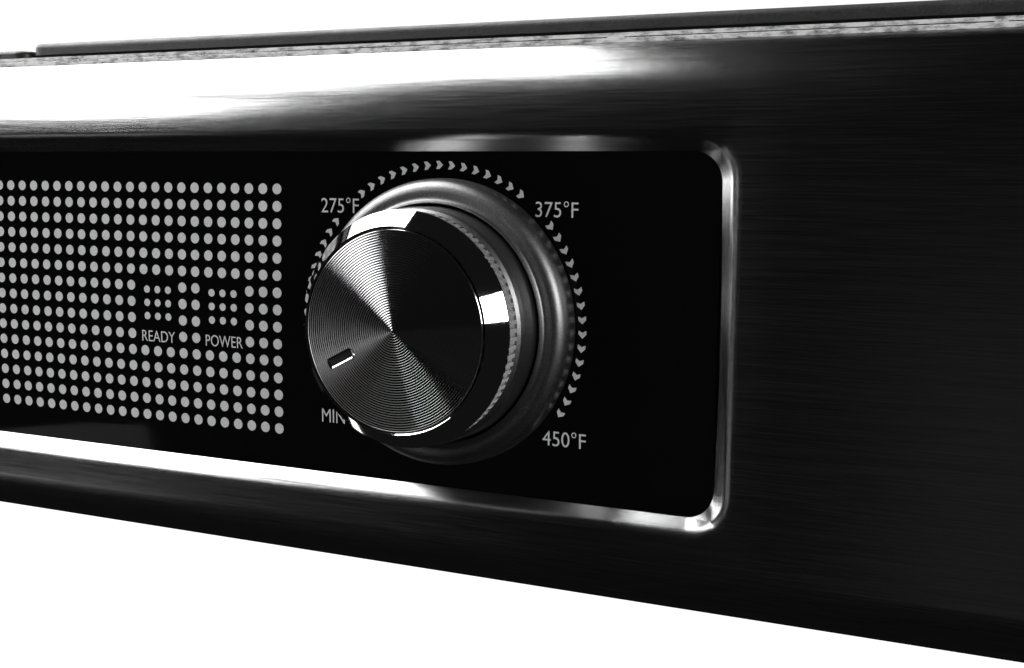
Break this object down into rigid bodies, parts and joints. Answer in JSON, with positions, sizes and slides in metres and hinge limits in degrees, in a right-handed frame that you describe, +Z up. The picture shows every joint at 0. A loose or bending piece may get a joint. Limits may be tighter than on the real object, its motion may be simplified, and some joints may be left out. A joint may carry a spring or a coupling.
{
  "type": "electric griddle",
  "caption": "Countertop electric griddle with lift-off nonstick plates, a brushed steel front, a glossy dot-pattern control panel, a round thermostat knob and a rear drip tray.",
  "frame": {"origin": "centre of the bounding box footprint, on the surface the feet stand on", "axes": "+X to the right along the front, +Y from the front to the rear, +Z up"},
  "size_m": [0.58, 0.3324, 0.1094],
  "materials": {
    "steel": "horizontally brushed",
    "deck_steel": "brushed, sheared bright edge",
    "fascia": "high-gloss black with light grey print",
    "nonstick": "cast, dark textured nonstick coating",
    "spun_aluminium": "spun with fine concentric grooves",
    "chrome": "mirror polished",
    "knob_core": "knurled, metallised ribs",
    "satin_metal": "dark satin",
    "shaft_steel": "turned",
    "black_plastic": "fine moulded grain",
    "black_steel": "black powder coat",
    "rubber": "matt",
    "seal": "silicone",
    "element_sheath": "heat-darkened sheath",
    "reflector": "bright rolled",
    "zinc": "zinc plated",
    "ceramic": "unglazed",
    "brass": "plated",
    "clear_plastic": "clear light guide",
    "lamp": "small lamp",
    "board": "circuit board",
    "wire": "glass-fibre sleeved leads",
    "tray_metal": "dark nonstick coating"
  },
  "bodies": {
    "housing": {"base_plate": "black_steel", "centre_bridge": "black_plastic", "control_fascia": "fascia", "drain_chutes": "zinc", "foot_screws": "zinc", "front_left_foot": "rubber", "front_panel": "steel", "front_right_foot": "rubber", "inlet_pins": "brass", "inlet_screws": "zinc", "knob_bezel": "satin_metal", "lamp_board": "board", "left_element": "element_sheath", "left_element_clips": "zinc", "left_element_terminals": "ceramic", "left_end_cap": "black_plastic", "left_handle": "black_plastic", "left_plate_seal": "seal", "left_reflector": "reflector", "power_inlet": "black_plastic", "power_lamp": "lamp", "power_light_guide": "clear_plastic", "ready_lamp": "lamp", "ready_light_guide": "clear_plastic", "rear_left_foot": "rubber", "rear_panel": "black_steel", "rear_right_foot": "rubber", "rear_screws": "zinc", "reflector_posts": "zinc", "right_element": "element_sheath", "right_element_clips": "zinc", "right_element_terminals": "ceramic", "right_end_cap": "black_plastic", "right_handle": "black_plastic", "right_plate_seal": "seal", "right_reflector": "reflector", "sensor_bulb": "shaft_steel", "terminal_block": "ceramic", "thermal_fuse": "ceramic", "thermostat_body": "black_plastic", "thermostat_nut": "zinc", "top_frame": "deck_steel", "tray_rails": "zinc", "wiring": "wire"},
    "knob": {"knob_face": "spun_aluminium", "knob_pointer": "knob_core", "knob_bevel": "chrome", "knob_body": "knob_core", "knob_skirt": "satin_metal", "thermostat_shaft": "shaft_steel"},
    "left_plate": {"left_plate": "nonstick"},
    "right_plate": {"right_plate": "nonstick"},
    "drip_tray": {"drip_tray": "tray_metal", "tray_pull": "black_plastic"}
  },
  "joints": [
    {"name": "knob_turn", "type": "hinge", "parent": "housing", "child": "knob", "pos_m": [0.124, -0.1486, 0.0568], "axis": [0, 1, 0], "range_deg": [0, 240]},
    {"name": "left_plate_lift", "type": "slide", "parent": "housing", "child": "left_plate", "axis": [0, 0, 1], "range_m": [0, 0.06]},
    {"name": "right_plate_lift", "type": "slide", "parent": "housing", "child": "right_plate", "axis": [0, 0, 1], "range_m": [0, 0.06]},
    {"name": "tray_slide", "type": "slide", "parent": "housing", "child": "drip_tray", "axis": [0, 1, 0], "range_m": [0, 0.09]}
  ]
}
